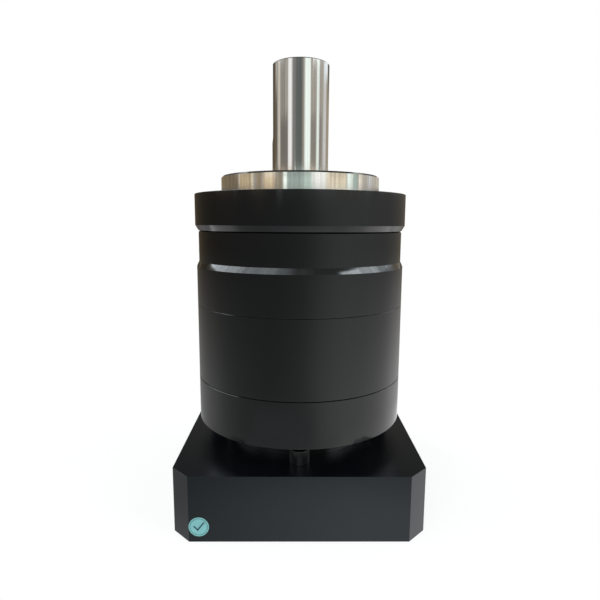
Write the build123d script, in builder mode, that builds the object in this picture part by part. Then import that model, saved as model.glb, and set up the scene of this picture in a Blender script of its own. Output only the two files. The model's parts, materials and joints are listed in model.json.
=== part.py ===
from build123d import *
from math import acos, cos, pi, radians, sin, tan
import os

os.makedirs("parts", exist_ok=True)

# Two-stage inline planetary gearbox. Millimetres, the gearbox axis is Z, the motor face is z = 0
# and the front with the keyway on its left is -Y.

# Outside sizes
adapter_wall = 10.0
adapter_height = 35.0
adapter_corner = 9.5
waist_wall = 8.0
waist_gap = 11.5
body_wall = 12.5
neck_relief = 1.3
neck_height = 17.0
taper_height = 3.0
flange_rise = 0.5
rear_cover_height = 24.5
output_housing_height = 41.5
front_flange_height = 20.0
pilot_wall = 5.0
pilot_height = 10.0
pilot_chamfer = 0.5
shaft_radius = 16.0
shaft_reach = 71.0
shaft_chamfer = 0.5

# Gear train: each stage turns ten to one inside the fixed ring
module = 1.0
pressure_angle = radians(20)
sun_teeth = 9
planet_teeth = 36
ring_teeth = sun_teeth + 2 * planet_teeth
planet_count = 3
tooth_addendum = 1.0 * module
tooth_dedendum = 1.25 * module
flank_clearance = 0.07
flank_steps = 1
sun_flank_steps = 3
first_face_width = 10.0
second_face_width = 15.0

# Clearances
fit = 0.1
running_fit = 0.08
axial_play = 0.5
tooth_room = 1.0

# Key and centre hole of the output shaft
keyway_width = 10.0
keyway_depth = 5.0
keyway_length = 43.0
keyway_angle = 178.0
centre_hole_radius = 5.1
centre_hole_depth = 24.0

# Mounting holes
flange_bolt_circle = 108.0
flange_bolt_count = 4
flange_bolt_depth = 15.0
motor_bolt_circle = 145.0
motor_bolt_count = 4
motor_bolt_depth = 20.0
tap_radius = 3.4
motor_pilot_radius = 55.0
motor_pilot_depth = 8.0
motor_shaft_radius = 12.0
motor_shaft_depth = 35.0

# Screws: thread, head radius and key width
m8_thread = 8.0
m8_head = 6.5
m8_key = 6.0
m6_thread = 6.0
m6_head = 5.0
m6_key = 5.0
m5_thread = 5.0
m5_head = 4.25
m5_key = 4.0

# Input flange and the screws of the input side
input_flange_height = 12.0
input_flange_step = 1.0
input_spigot_wall = 1.9
adapter_screw_count = 4
adapter_screw_room = 0.5
input_screw_count = 6
input_screw_angle = 15.0
input_screw_grip = 5.0

# Bearings and seals
input_bearing_bore = 20.0
input_bearing_outside = 34.0
input_bearing_width = 15.0
rear_bearing_bore = 30.0
rear_bearing_outside = 42.5
rear_bearing_width = 13.0
front_bearing_bore = 25.0
front_bearing_outside = 40.0
front_bearing_width = 16.0
bearing_ring_share = 0.3
roller_count = 14
roller_end_room = 2.5
cage_wall = 1.6
shield_thickness = 0.8
shield_sink = 0.5
bush_wall = 1.2
input_seal_wall = 6.0
input_seal_width = 7.0
output_seal_wall = 11.0
output_seal_width = 8.0
circlip_width = 1.6
circlip_room = 2.4
circlip_height = 3.0

# Input shaft and its split hub
hub_clearance = 1.0
hub_slot_width = 2.0
hub_slot_end = 21.5
collar_wall = 9.5
collar_width = 9.0
collar_room = 2.5
clamp_screw_seat = 8.0
clamp_screw_length = 20.0
access_hole_radius = 5.0
plug_radius = 7.0
plug_clearance = 2.0
plug_key = 6.0
input_shoulder_height = 2.5
input_shoulder_width = 2.0
input_journal_length = 10.0

# Inside of the body
spigot_land = 5.25
spigot_height = 3.0
spigot_wall = 3.4
seal_ring_width = 1.6
seal_ring_depth = 1.4
seal_ring_rise = 0.7
dowel_radius = 2.0
dowel_length = 12.0
dowel_count = 2
seal_web = 3.0
body_bolt_count = 8
body_bolt_grip = 15.5
bearing_lip = 4.5
flange_spigot_height = 5.0
flange_lip = 3.0
flange_screw_count = 8
flange_screw_grip = 8.5
flange_screw_sink = 6.5
pilot_bore_room = 1.5
pilot_shoulder = 1.0
pilot_relief = 1.0
seal_sink = 0.5
spanner_hole_radius = 2.0
spanner_hole_depth = 4.0
spanner_hole_count = 4

# Carriers
disc_room = 2.5
second_plate_thickness = 4.0
mid_plate_thickness = 5.0
disc_thickness = 14.0
shaft_shoulder = 3.0
shaft_shoulder_height = 1.0
first_pin_radius = 4.0
first_pin_head = 6.0
first_pin_head_height = 1.3
pin_head_room = 1.5
second_pin_radius = 5.0
second_pin_socket = 10.0
post_inset = 6.5
lock_ring_wall = 6.5
lock_ring_width = 5.5
spacer_wall = 4.0

# Radii of the gears and of what follows them outwards
planet_orbit = module * (sun_teeth + planet_teeth) / 2
planet_tip_radius = module * planet_teeth / 2 + tooth_addendum
planet_angles = [k * 360 / planet_count for k in range(planet_count)]
sun_stem_radius = module * sun_teeth / 2 + tooth_addendum
ring_tip_radius = module * ring_teeth / 2 - tooth_addendum
ring_root_radius = module * ring_teeth / 2 + tooth_dedendum
spigot_radius = ring_root_radius + spigot_land
spigot_bore = spigot_radius - fit - spigot_wall
body_radius = spigot_radius + body_wall
neck_radius = body_radius - neck_relief
flange_radius = body_radius + flange_rise
carrier_radius = ring_tip_radius - tooth_room
disc_radius = spigot_bore - disc_room
cover_bore = planet_orbit + first_pin_head + pin_head_room
body_bolt_circle = spigot_radius + body_radius
flange_screw_circle = spigot_radius + neck_radius

# Radii of the input side
adapter_size = 2 * (motor_pilot_radius + adapter_wall)
input_flange_radius = motor_pilot_radius - input_flange_step
waist_radius = input_bearing_outside + waist_wall
adapter_screw_circle = 2 * (waist_radius + m8_head + adapter_screw_room)
input_screw_circle = input_bearing_outside + waist_radius
hub_radius = input_bearing_bore
collar_radius = hub_radius + collar_wall
clamp_screw_offset = (hub_radius + collar_radius) / 2
plug_length = adapter_wall - plug_clearance
input_shoulder_radius = hub_radius + input_shoulder_height

# Radii of the output side
pilot_radius = front_bearing_outside + pilot_wall
output_seal_radius = front_bearing_bore + output_seal_wall
pilot_thread_radius = pilot_radius - pilot_shoulder
lock_ring_radius = front_bearing_bore + lock_ring_wall
pilot_bore = lock_ring_radius + pilot_bore_room

# Levels, from the motor face up
body_level = adapter_height + waist_gap
ring_level = body_level + rear_cover_height
first_planet_level = ring_level + spigot_height
mid_plate_level = first_planet_level + first_face_width + axial_play
mid_plate_top = mid_plate_level + mid_plate_thickness
second_plate_level = mid_plate_top + axial_play
second_plate_top = second_plate_level + second_plate_thickness
second_planet_level = second_plate_top + axial_play
disc_level = second_planet_level + second_face_width + axial_play
housing_level = disc_level + spigot_height
ring_gear_height = housing_level - ring_level
flange_level = housing_level + output_housing_height
face_level = flange_level + front_flange_height
pilot_level = face_level + pilot_height
shaft_end = face_level + shaft_reach
neck_bottom = flange_level - neck_height
rear_seal_level = ring_level + seal_ring_rise
front_seal_level = housing_level - seal_ring_rise - seal_ring_width

input_flange_top = motor_pilot_depth + input_flange_height
adapter_web = adapter_height - input_flange_top
circlip_level = input_flange_top + circlip_room
input_bearing_level = circlip_level + circlip_width
input_bearing_top = input_bearing_level + input_bearing_width
input_seal_level = input_bearing_top + seal_web
input_seal_top = input_seal_level + input_seal_width
journal_top = input_bearing_top + input_shoulder_width + input_journal_length
sun_socket_level = journal_top - input_journal_length / 2
hub_start = motor_pilot_depth + hub_clearance
collar_level = motor_pilot_depth + (input_flange_height - collar_width) / 2
clamp_screw_level = collar_level + collar_width / 2

disc_top = disc_level + disc_thickness
rear_bearing_level = disc_top + shaft_shoulder_height
rear_bearing_top = rear_bearing_level + rear_bearing_width
flange_spigot_level = flange_level - flange_spigot_height
front_bearing_level = flange_spigot_level + flange_lip
front_bearing_top = front_bearing_level + front_bearing_width
seal_level = pilot_level - seal_sink - output_seal_width
seal_journal_top = pilot_level - seal_sink

# Lengths of the screws that join the body
adapter_screw_length = adapter_web + input_flange_height - axial_play
input_screw_length = input_flange_height - m5_thread + input_screw_grip
body_bolt_length = rear_cover_height - m6_thread + ring_gear_height + body_bolt_grip
flange_screw_length = front_flange_height - flange_screw_sink + flange_screw_grip

# Bearings: bore, outside, width and level
input_bearing = (input_bearing_bore, input_bearing_outside, input_bearing_width, input_bearing_level)
rear_bearing = (rear_bearing_bore, rear_bearing_outside, rear_bearing_width, rear_bearing_level)
front_bearing = (front_bearing_bore, front_bearing_outside, front_bearing_width, front_bearing_level)


def involute(angle):
    """The involute function of a pressure angle."""
    return tan(angle) - angle


def gear_outline(teeth, tip_radius, root_radius, thinning, steps):
    """Corner points of a gear whose first tooth points along X, with flanks in straight steps."""
    pitch_radius = module * teeth / 2
    base_radius = pitch_radius * cos(pressure_angle)
    half_pitch_angle = pi / (2 * teeth) - thinning / pitch_radius + involute(pressure_angle)
    flank = []
    for step in range(steps + 1):
        radius = root_radius + (tip_radius - root_radius) * step / steps
        turn = acos(min(1.0, base_radius / radius))
        flank.append((radius, half_pitch_angle - involute(turn)))
    rising = [(radius, -half) for radius, half in flank]
    falling = [(radius, half) for radius, half in reversed(flank)]
    tooth = rising + falling
    points = []
    for number in range(teeth):
        middle = 2 * pi * number / teeth
        points += [(radius * cos(middle + a), radius * sin(middle + a)) for radius, a in tooth]
    return points


def bolt_places(circle, count, level, first_angle=0.0, facing=1):
    """Planes on a bolt circle, facing up for 1 and down for -1."""
    places = []
    for number in range(count):
        angle = radians(first_angle + number * 360 / count)
        centre = (circle / 2 * cos(angle), circle / 2 * sin(angle), level)
        places.append(Plane(origin=centre, x_dir=(1, 0, 0), z_dir=(0, 0, facing)))
    return places


def cap_screws(seats, thread, head_radius, key_width, length):
    """Socket-head cap screws whose heads stand on the given seat planes."""
    with BuildPart() as screws:
        with BuildSketch(*seats):
            Circle(head_radius)
        extrude(amount=thread)
        with BuildSketch(*seats):
            Circle(thread / 2)
        extrude(amount=-length)
        with BuildSketch(*[seat.offset(thread / 2) for seat in seats]):
            RegularPolygon(key_width / 2, 6, major_radius=False)
        extrude(amount=thread / 2, mode=Mode.SUBTRACT)
    return screws


def bearing_ring(inner_radius, outer_radius, level, width):
    """One plain ring of a bearing, a seal or a spacer."""
    with BuildPart() as ring:
        with BuildSketch(Plane.XY.offset(level)):
            Circle(outer_radius)
            Circle(inner_radius, mode=Mode.SUBTRACT)
        extrude(amount=width)
    return ring


def save(piece, name):
    """Label a finished piece and write its file."""
    piece.part.label = name
    export_step(piece.part, "parts/" + name + ".step")


# Screw places
flange_bolts = bolt_places(flange_bolt_circle, flange_bolt_count, face_level, 180 / flange_bolt_count)
motor_bolts = bolt_places(motor_bolt_circle, motor_bolt_count, 0, 180 / motor_bolt_count, -1)
adapter_seats = bolt_places(adapter_screw_circle, adapter_screw_count, adapter_height)
input_seats = bolt_places(
    input_screw_circle, input_screw_count, motor_pilot_depth + m5_thread, input_screw_angle, -1
)
body_bolt_seats = bolt_places(
    body_bolt_circle, body_bolt_count, body_level + m6_thread, 180 / body_bolt_count, -1
)
flange_screw_seats = bolt_places(
    flange_screw_circle, flange_screw_count, face_level - flange_screw_sink, 180 / flange_screw_count
)
clamp_seat = Plane(
    origin=(clamp_screw_offset, clamp_screw_seat, clamp_screw_level), x_dir=(1, 0, 0), z_dir=(0, 1, 0)
)
plug_face = Plane(
    origin=(clamp_screw_offset, adapter_size / 2, clamp_screw_level), x_dir=(1, 0, 0), z_dir=(0, 1, 0)
)


# Motor adapter: a square block with bevelled corners, bored from below for the motor's pilot
with BuildPart() as motor_adapter:
    with BuildSketch() as adapter_outline:
        Rectangle(adapter_size, adapter_size)
        chamfer(adapter_outline.vertices(), length=adapter_corner)
    extrude(amount=adapter_height)
    with BuildSketch():
        Circle(motor_pilot_radius)
    extrude(amount=motor_pilot_depth, mode=Mode.SUBTRACT)
    with BuildSketch(Plane.XY.offset(motor_pilot_depth)):
        Circle(input_flange_radius + fit)
    extrude(amount=input_flange_height, mode=Mode.SUBTRACT)
    with BuildSketch(Plane.XY.offset(input_flange_top)):
        Circle(waist_radius + fit)
    extrude(amount=adapter_web, mode=Mode.SUBTRACT)
    with BuildSketch(*motor_bolts):
        Circle(tap_radius)
    extrude(amount=-motor_bolt_depth, mode=Mode.SUBTRACT)
    with BuildSketch(*adapter_seats):
        Circle(m8_thread / 2 + fit)
    extrude(amount=-adapter_web, mode=Mode.SUBTRACT)
    with BuildSketch(plug_face):
        Circle(plug_radius + fit)
    extrude(amount=-plug_length, mode=Mode.SUBTRACT)
    with BuildSketch(plug_face):
        Circle(access_hole_radius)
    extrude(amount=-adapter_size / 2, mode=Mode.SUBTRACT)
save(motor_adapter, "motor_adapter")

adapter_screws = cap_screws(adapter_seats, m8_thread, m8_head, m8_key, adapter_screw_length)
save(adapter_screws, "adapter_screws")

with BuildPart() as access_plug:
    with BuildSketch(plug_face):
        Circle(plug_radius)
    extrude(amount=-plug_length)
    with BuildSketch(plug_face):
        RegularPolygon(plug_key / 2, 6, major_radius=False)
    extrude(amount=-plug_length / 2, mode=Mode.SUBTRACT)
save(access_plug, "access_plug")


# Input flange: clamps the adapter's web from below and holds the input bearing with its spigot
with BuildPart() as input_flange:
    with BuildSketch(Plane.XY.offset(motor_pilot_depth)):
        Circle(input_flange_radius)
    extrude(amount=input_flange_height)
    with BuildSketch(Plane.XY.offset(input_flange_top)):
        Circle(input_bearing_outside - fit)
    extrude(amount=input_bearing_level - input_flange_top)
    with BuildSketch(Plane.XY.offset(motor_pilot_depth)):
        Circle(collar_radius + collar_room)
    extrude(amount=input_flange_height, mode=Mode.SUBTRACT)
    with BuildSketch(Plane.XY.offset(input_flange_top)):
        Circle(input_bearing_outside - fit - input_spigot_wall)
    extrude(amount=input_bearing_level - input_flange_top, mode=Mode.SUBTRACT)
    with BuildSketch(*adapter_seats):
        Circle(m8_thread / 2 + fit)
    extrude(amount=-adapter_height, mode=Mode.SUBTRACT)
    with BuildSketch(*input_seats):
        Circle(m5_head + fit)
    extrude(amount=m5_thread, mode=Mode.SUBTRACT)
    with BuildSketch(*input_seats):
        Circle(m5_thread / 2 + fit)
    extrude(amount=-input_flange_height, mode=Mode.SUBTRACT)
    with BuildSketch(clamp_seat):
        Circle(access_hole_radius)
    extrude(amount=adapter_size, mode=Mode.SUBTRACT)
save(input_flange, "input_flange")

input_flange_screws = cap_screws(input_seats, m5_thread, m5_head, m5_key, input_screw_length)
save(input_flange_screws, "input_flange_screws")


# Rear cover: the waist goes down through the adapter, the spigot goes up into the ring gear
with BuildPart() as rear_cover:
    with BuildSketch(Plane.XZ):
        with BuildLine():
            Polyline(
                (input_bearing_outside, input_flange_top),
                (waist_radius, input_flange_top),
                (waist_radius, body_level),
                (body_radius, body_level),
                (body_radius, ring_level),
                (spigot_radius - fit, ring_level),
                (spigot_radius - fit, ring_level + spigot_height),
                (spigot_bore, ring_level + spigot_height),
                (spigot_bore, ring_level),
                (cover_bore, ring_level),
                (cover_bore, input_seal_top),
                (hub_radius + input_seal_wall, input_seal_top),
                (hub_radius + input_seal_wall, input_seal_level),
                (input_shoulder_radius + tooth_room, input_seal_level),
                (input_shoulder_radius + tooth_room, input_bearing_top),
                (input_bearing_outside, input_bearing_top),
                close=True,
            )
        make_face()
    revolve(axis=Axis.Z)
    with BuildSketch(*body_bolt_seats):
        Circle(m6_head + fit)
    extrude(amount=m6_thread, mode=Mode.SUBTRACT)
    with BuildSketch(*body_bolt_seats):
        Circle(m6_thread / 2 + fit)
    extrude(amount=-rear_cover_height, mode=Mode.SUBTRACT)
    with BuildSketch(*input_seats):
        Circle(m5_thread / 2 + fit)
    extrude(amount=-input_screw_length - fit, mode=Mode.SUBTRACT)
    with BuildSketch(Plane.XY.offset(rear_seal_level)):
        Circle(spigot_radius)
        Circle(spigot_radius - fit - seal_ring_depth, mode=Mode.SUBTRACT)
    extrude(amount=seal_ring_width, mode=Mode.SUBTRACT)
save(rear_cover, "rear_cover")

body_bolts = cap_screws(body_bolt_seats, m6_thread, m6_head, m6_key, body_bolt_length)
save(body_bolts, "body_bolts")


# Ring gear: one tube with the teeth of both stages
ring_gap_points = gear_outline(ring_teeth, ring_root_radius, ring_tip_radius, -flank_clearance, flank_steps)
with BuildPart() as ring_gear:
    with BuildSketch(Plane.XY.offset(ring_level)):
        Circle(body_radius)
    extrude(amount=ring_gear_height)
    with BuildSketch(Plane.XY.offset(ring_level)):
        with BuildLine():
            Polyline(*ring_gap_points, close=True)
        make_face()
    extrude(amount=ring_gear_height, mode=Mode.SUBTRACT)
    with BuildSketch(Plane.XY.offset(ring_level), Plane.XY.offset(disc_level)):
        Circle(spigot_radius)
    extrude(amount=spigot_height, mode=Mode.SUBTRACT)
    with BuildSketch(*body_bolt_seats):
        Circle(m6_thread / 2 + fit)
    extrude(amount=-body_bolt_length, mode=Mode.SUBTRACT)
save(ring_gear, "ring_gear")


# Output housing: holds the rear bearing, with the narrower neck above its taper
with BuildPart() as output_housing:
    with BuildSketch(Plane.XZ):
        with BuildLine():
            Polyline(
                (spigot_bore, disc_level),
                (spigot_radius - fit, disc_level),
                (spigot_radius - fit, housing_level),
                (body_radius, housing_level),
                (body_radius, neck_bottom - taper_height),
                (neck_radius, neck_bottom),
                (neck_radius, flange_level),
                (spigot_radius, flange_level),
                (spigot_radius, flange_spigot_level),
                (rear_bearing_outside - bearing_lip, flange_spigot_level),
                (rear_bearing_outside - bearing_lip, rear_bearing_top),
                (rear_bearing_outside, rear_bearing_top),
                (rear_bearing_outside, rear_bearing_level),
                (spigot_bore, rear_bearing_level),
                close=True,
            )
        make_face()
    revolve(axis=Axis.Z)
    with BuildSketch(*body_bolt_seats):
        Circle(m6_thread / 2 + fit)
    extrude(amount=-body_bolt_length - fit, mode=Mode.SUBTRACT)
    with BuildSketch(*flange_screw_seats):
        Circle(m5_thread / 2 + fit)
    extrude(amount=-flange_screw_length - fit, mode=Mode.SUBTRACT)
    with BuildSketch(Plane.XY.offset(front_seal_level)):
        Circle(spigot_radius)
        Circle(spigot_radius - fit - seal_ring_depth, mode=Mode.SUBTRACT)
    extrude(amount=seal_ring_width, mode=Mode.SUBTRACT)
    with BuildSketch(Plane.XY.offset(flange_level)):
        with PolarLocations(flange_screw_circle / 2, dowel_count):
            Circle(dowel_radius + fit)
    extrude(amount=-dowel_length / 2, mode=Mode.SUBTRACT)
save(output_housing, "output_housing")


# Front flange: the mounting face with its threads, and the seat of the front bearing
with BuildPart() as front_flange:
    with BuildSketch(Plane.XZ):
        with BuildLine():
            Polyline(
                (front_bearing_outside - flange_lip, flange_spigot_level),
                (spigot_radius - fit, flange_spigot_level),
                (spigot_radius - fit, flange_level),
                (neck_radius, flange_level),
                (flange_radius, flange_level + taper_height),
                (flange_radius, face_level),
                (pilot_radius + fit, face_level),
                (pilot_radius + fit, face_level - pilot_relief),
                (pilot_thread_radius + fit, face_level - pilot_relief),
                (pilot_thread_radius + fit, front_bearing_top),
                (front_bearing_outside, front_bearing_top),
                (front_bearing_outside, front_bearing_level),
                (front_bearing_outside - flange_lip, front_bearing_level),
                close=True,
            )
        make_face()
    revolve(axis=Axis.Z)
    with BuildSketch(*flange_bolts):
        Circle(tap_radius)
    extrude(amount=-flange_bolt_depth, mode=Mode.SUBTRACT)
    with BuildSketch(*flange_screw_seats):
        Circle(m5_head + fit)
    extrude(amount=flange_screw_sink, mode=Mode.SUBTRACT)
    with BuildSketch(*flange_screw_seats):
        Circle(m5_thread / 2 + fit)
    extrude(amount=-front_flange_height, mode=Mode.SUBTRACT)
    with BuildSketch(Plane.XY.offset(flange_level)):
        with PolarLocations(flange_screw_circle / 2, dowel_count):
            Circle(dowel_radius + fit)
    extrude(amount=dowel_length / 2, mode=Mode.SUBTRACT)
save(front_flange, "front_flange")

flange_screws = cap_screws(flange_screw_seats, m5_thread, m5_head, m5_key, flange_screw_length)
save(flange_screws, "flange_screws")


# Pilot ring: screwed into the flange over the bearing, with the output seal in its top
with BuildPart() as pilot_ring:
    with BuildSketch(Plane.XZ):
        with BuildLine():
            Polyline(
                (pilot_bore, front_bearing_top),
                (pilot_thread_radius, front_bearing_top),
                (pilot_thread_radius, face_level),
                (pilot_radius, face_level),
                (pilot_radius, pilot_level - pilot_chamfer),
                (pilot_radius - pilot_chamfer, pilot_level),
                (output_seal_radius, pilot_level),
                (output_seal_radius, seal_level),
                (pilot_bore, seal_level),
                close=True,
            )
        make_face()
    revolve(axis=Axis.Z)
    with BuildSketch(Plane.XY.offset(pilot_level)):
        with PolarLocations((pilot_radius + output_seal_radius) / 2, spanner_hole_count):
            Circle(spanner_hole_radius)
    extrude(amount=-spanner_hole_depth, mode=Mode.SUBTRACT)
save(pilot_ring, "pilot_ring")


# Bearings, seals and the rings that hold them
for name, bearing in (
    ("input_bearing", input_bearing),
    ("rear_bearing", rear_bearing),
    ("front_bearing", front_bearing),
):
    inner_radius, outer_radius, width, level = bearing
    wall = (outer_radius - inner_radius) * bearing_ring_share
    save(bearing_ring(inner_radius, inner_radius + wall, level, width), name + "_inner")
    save(bearing_ring(outer_radius - wall, outer_radius, level, width), name + "_outer")

for name, inner_radius, outer_radius, level, width in (
    ("input_seal", hub_radius + fit, hub_radius + input_seal_wall, input_seal_level, input_seal_width),
    ("output_seal", front_bearing_bore + fit, output_seal_radius, seal_level, output_seal_width),
    ("input_circlip", hub_radius, hub_radius + circlip_height, circlip_level, circlip_width),
    (
        "bearing_spacer",
        front_bearing_bore,
        front_bearing_bore + spacer_wall,
        rear_bearing_top,
        front_bearing_level - rear_bearing_top,
    ),
    ("lock_ring", front_bearing_bore, lock_ring_radius, front_bearing_top, lock_ring_width),
):
    save(bearing_ring(inner_radius, outer_radius, level, width), name)


# Rollers and cages of the two output bearings, shields of the input bearing
for name, bearing in (
    ("rear_bearing", rear_bearing),
    ("front_bearing", front_bearing),
):
    inner_radius, outer_radius, width, level = bearing
    wall = (outer_radius - inner_radius) * bearing_ring_share
    roller_orbit = (inner_radius + outer_radius) / 2
    roller_radius = (outer_radius - inner_radius) / 2 - wall - running_fit
    with BuildPart() as rollers:
        with BuildSketch(Plane.XY.offset(level + roller_end_room)):
            with PolarLocations(roller_orbit, roller_count):
                Circle(roller_radius)
        extrude(amount=width - 2 * roller_end_room)
    save(rollers, name + "_rollers")
    with BuildPart() as cage:
        with BuildSketch(Plane.XY.offset(level + roller_end_room / 2)):
            Circle(roller_orbit + cage_wall / 2)
            Circle(roller_orbit - cage_wall / 2, mode=Mode.SUBTRACT)
        extrude(amount=width - roller_end_room)
        with BuildSketch(Plane.XY.offset(level + roller_end_room - fit)):
            with PolarLocations(roller_orbit, roller_count):
                Circle(roller_radius + fit)
        extrude(amount=width - 2 * roller_end_room + 2 * fit, mode=Mode.SUBTRACT)
    save(cage, name + "_cage")

with BuildPart() as input_bearing_shields:
    shield_levels = (
        input_bearing_level + shield_sink,
        input_bearing_top - shield_sink - shield_thickness,
    )
    shield_wall = (input_bearing_outside - input_bearing_bore) * bearing_ring_share
    with BuildSketch(*[Plane.XY.offset(shield_level) for shield_level in shield_levels]):
        Circle(input_bearing_outside - shield_wall)
        Circle(input_bearing_bore + shield_wall + fit, mode=Mode.SUBTRACT)
    extrude(amount=shield_thickness)
save(input_bearing_shields, "input_bearing_shields")


# Seal rings in the grooves of both spigots, and the dowels between housing and flange
with BuildPart() as seam_seals:
    with BuildSketch(Plane.XY.offset(rear_seal_level), Plane.XY.offset(front_seal_level)):
        Circle(spigot_radius)
        Circle(spigot_radius - fit - seal_ring_depth, mode=Mode.SUBTRACT)
    extrude(amount=seal_ring_width)
save(seam_seals, "seam_seals")

with BuildPart() as dowels:
    with BuildSketch(Plane.XY.offset(flange_level - dowel_length / 2)):
        with PolarLocations(flange_screw_circle / 2, dowel_count):
            Circle(dowel_radius)
    extrude(amount=dowel_length)
save(dowels, "dowels")


# Output shaft: one forging with the disc that carries the second planets' pins, drawn in the
# keyway's own plane
keyway_outward = (cos(radians(keyway_angle)), sin(radians(keyway_angle)), 0)
keyway_side = (sin(radians(keyway_angle)), -cos(radians(keyway_angle)), 0)
with BuildPart() as output_shaft:
    with BuildSketch(Plane(origin=(0, 0, 0), x_dir=keyway_outward, z_dir=keyway_side)):
        with BuildLine():
            Polyline(
                (0, disc_level),
                (disc_radius, disc_level),
                (disc_radius, disc_top),
                (rear_bearing_bore + shaft_shoulder, disc_top),
                (rear_bearing_bore + shaft_shoulder, rear_bearing_level),
                (rear_bearing_bore, rear_bearing_level),
                (rear_bearing_bore, rear_bearing_top),
                (front_bearing_bore, rear_bearing_top),
                (front_bearing_bore, seal_journal_top),
                (shaft_radius, seal_journal_top),
                (shaft_radius, shaft_end - shaft_chamfer),
                (shaft_radius - shaft_chamfer, shaft_end),
                (0, shaft_end),
                close=True,
            )
        make_face()
    revolve(axis=Axis.Z)
    with BuildSketch(Plane.XY.offset(disc_level)):
        with PolarLocations(planet_orbit, planet_count):
            Circle(second_pin_radius)
    extrude(amount=second_pin_socket, mode=Mode.SUBTRACT)
    with BuildSketch(Plane.XY.offset(shaft_end)):
        Circle(centre_hole_radius)
    extrude(amount=-centre_hole_depth, mode=Mode.SUBTRACT)
    keyway_plane = Plane(
        origin=(
            shaft_radius * keyway_outward[0],
            shaft_radius * keyway_outward[1],
            shaft_end + (keyway_width - keyway_length) / 2,
        ),
        x_dir=(0, 0, 1),
        z_dir=keyway_outward,
    )
    with BuildSketch(keyway_plane):
        SlotOverall(keyway_length + keyway_width, keyway_width)
    extrude(amount=-keyway_depth, mode=Mode.SUBTRACT)
    with BuildSketch(keyway_plane):
        SlotOverall(keyway_length + keyway_width, keyway_width)
    extrude(amount=keyway_depth, mode=Mode.SUBTRACT)
save(output_shaft, "output_shaft")


# Carrier plate: closes the second stage's cage, with three posts that stand between the planets
with BuildPart() as carrier_plate:
    with BuildSketch(Plane.XY.offset(second_plate_level)):
        Circle(carrier_radius)
        Circle(sun_stem_radius + tooth_room, mode=Mode.SUBTRACT)
        with PolarLocations(planet_orbit, planet_count):
            Circle(second_pin_radius, mode=Mode.SUBTRACT)
    extrude(amount=second_plate_thickness)
    with BuildSketch(Plane.XY.offset(second_plate_top)):
        Circle(carrier_radius)
        Circle(planet_orbit + post_inset, mode=Mode.SUBTRACT)
        with PolarLocations(planet_orbit, planet_count):
            Circle(planet_tip_radius + tooth_room, mode=Mode.SUBTRACT)
    extrude(amount=disc_level - second_plate_top)
save(carrier_plate, "carrier_plate")

with BuildPart() as second_pins:
    with BuildSketch(Plane.XY.offset(second_plate_level)):
        with PolarLocations(planet_orbit, planet_count):
            Circle(second_pin_radius)
    extrude(amount=disc_level + second_pin_socket - second_plate_level)
save(second_pins, "second_pins")


# Middle carrier: hangs the first planets on headed pins and drives the second sun
with BuildPart() as mid_carrier:
    with BuildSketch(Plane.XY.offset(mid_plate_level)):
        Circle(carrier_radius)
        Circle(sun_stem_radius, mode=Mode.SUBTRACT)
        with PolarLocations(planet_orbit, planet_count):
            Circle(first_pin_radius, mode=Mode.SUBTRACT)
    extrude(amount=mid_plate_thickness)
save(mid_carrier, "mid_carrier")

with BuildPart() as first_pins:
    with BuildSketch(Plane.XY.offset(first_planet_level - axial_play)):
        with PolarLocations(planet_orbit, planet_count):
            Circle(first_pin_radius)
    extrude(amount=mid_plate_top - first_planet_level + axial_play)
    with BuildSketch(Plane.XY.offset(first_planet_level - axial_play)):
        with PolarLocations(planet_orbit, planet_count):
            Circle(first_pin_head)
    extrude(amount=-first_pin_head_height)
save(first_pins, "first_pins")


# Planets of both stages, each with a tooth pointing away from the axis and a bush pressed in
planet_points = gear_outline(
    planet_teeth,
    planet_tip_radius,
    module * planet_teeth / 2 - tooth_dedendum,
    flank_clearance,
    flank_steps,
)
for stage, level, face_width, pin_radius in (
    ("first", first_planet_level, first_face_width, first_pin_radius),
    ("second", second_planet_level, second_face_width, second_pin_radius),
):
    for number, angle in enumerate(planet_angles, start=1):
        outward = (cos(radians(angle)), sin(radians(angle)), 0)
        centre = (planet_orbit * outward[0], planet_orbit * outward[1], level)
        with BuildPart() as planet:
            with BuildSketch(Plane(origin=centre, x_dir=outward, z_dir=(0, 0, 1))):
                with BuildLine():
                    Polyline(*planet_points, close=True)
                make_face()
                Circle(pin_radius + running_fit + bush_wall, mode=Mode.SUBTRACT)
            extrude(amount=face_width)
        save(planet, stage + "_planet_" + str(number))
        with BuildPart() as bush:
            with BuildSketch(Plane(origin=centre, z_dir=(0, 0, 1))):
                Circle(pin_radius + running_fit + bush_wall)
                Circle(pin_radius + running_fit, mode=Mode.SUBTRACT)
            extrude(amount=face_width)
        save(bush, stage + "_bush_" + str(number))


# Suns: each has a tooth gap facing every planet, and a stem pressed into what turns it
sun_points = gear_outline(
    sun_teeth,
    sun_stem_radius,
    module * sun_teeth / 2 - tooth_dedendum,
    flank_clearance,
    sun_flank_steps,
)
for name, stem_level, level, face_width in (
    ("first_sun", sun_socket_level, first_planet_level, first_face_width),
    ("second_sun", mid_plate_level, second_planet_level, second_face_width),
):
    with BuildPart() as sun:
        with BuildSketch(Plane.XY.offset(stem_level)):
            Circle(sun_stem_radius)
        extrude(amount=level - stem_level)
        with BuildSketch(Plane(origin=(0, 0, level), x_dir=(cos(pi / sun_teeth), sin(pi / sun_teeth), 0))):
            with BuildLine():
                Polyline(*sun_points, close=True)
            make_face()
        extrude(amount=face_width)
    save(sun, name)


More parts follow.
